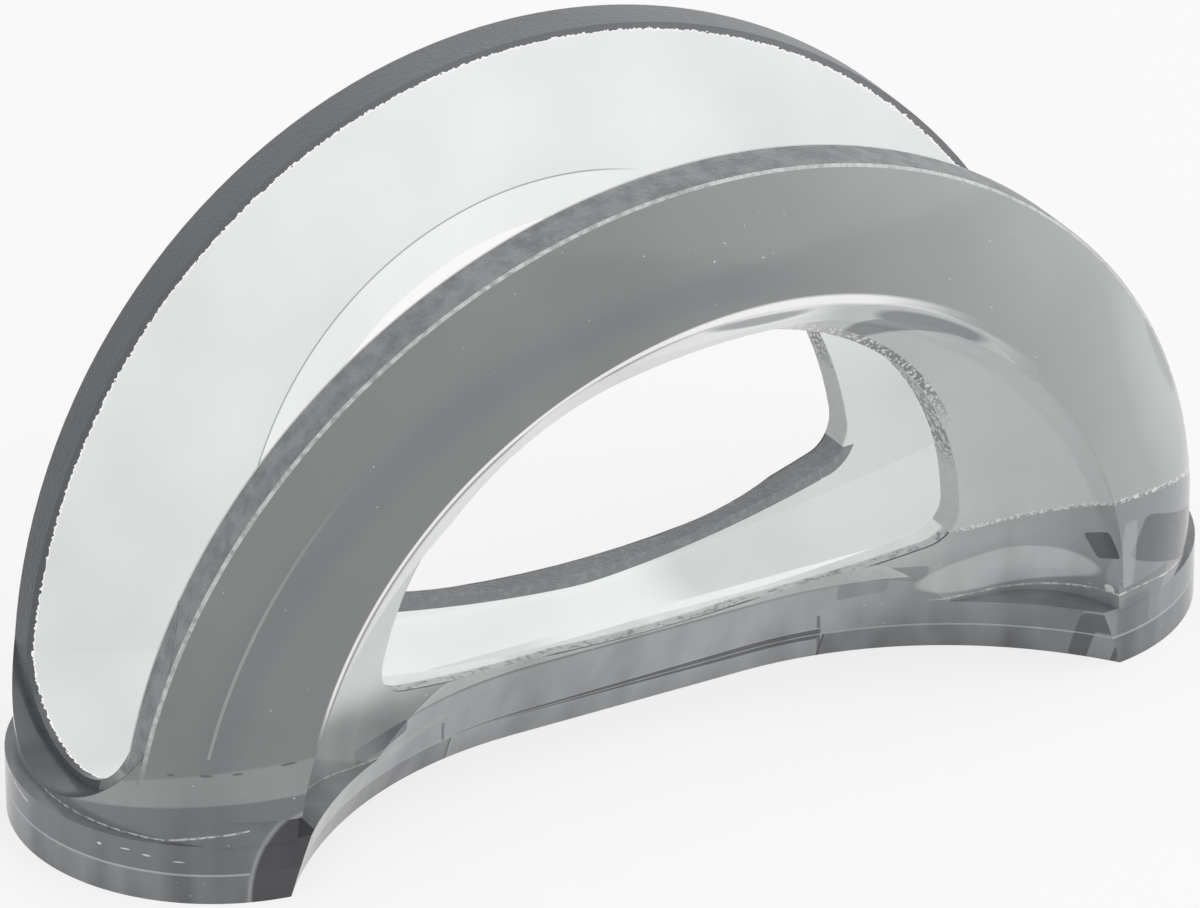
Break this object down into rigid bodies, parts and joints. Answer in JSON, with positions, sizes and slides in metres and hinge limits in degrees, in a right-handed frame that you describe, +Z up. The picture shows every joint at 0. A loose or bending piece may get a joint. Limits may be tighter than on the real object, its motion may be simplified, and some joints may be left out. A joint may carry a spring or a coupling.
{
  "type": "napkin_holder",
  "caption": "Upright napkin holder in smoky clear plastic with two arched walls, see-through windows and foot caps.",
  "frame": {"origin": "on the table, under the middle of the holder", "axes": "+X along the napkin slot, +Y from the front wall to the back wall, +Z up"},
  "size_m": [0.176, 0.0732, 0.0888],
  "materials": {
    "smoke_body": "polished",
    "smoke_foot": "polished"
  },
  "bodies": {
    "root": {"body": "smoke_body", "left_foot_cap": "smoke_foot", "right_foot_cap": "smoke_foot"}
  },
  "joints": []
}
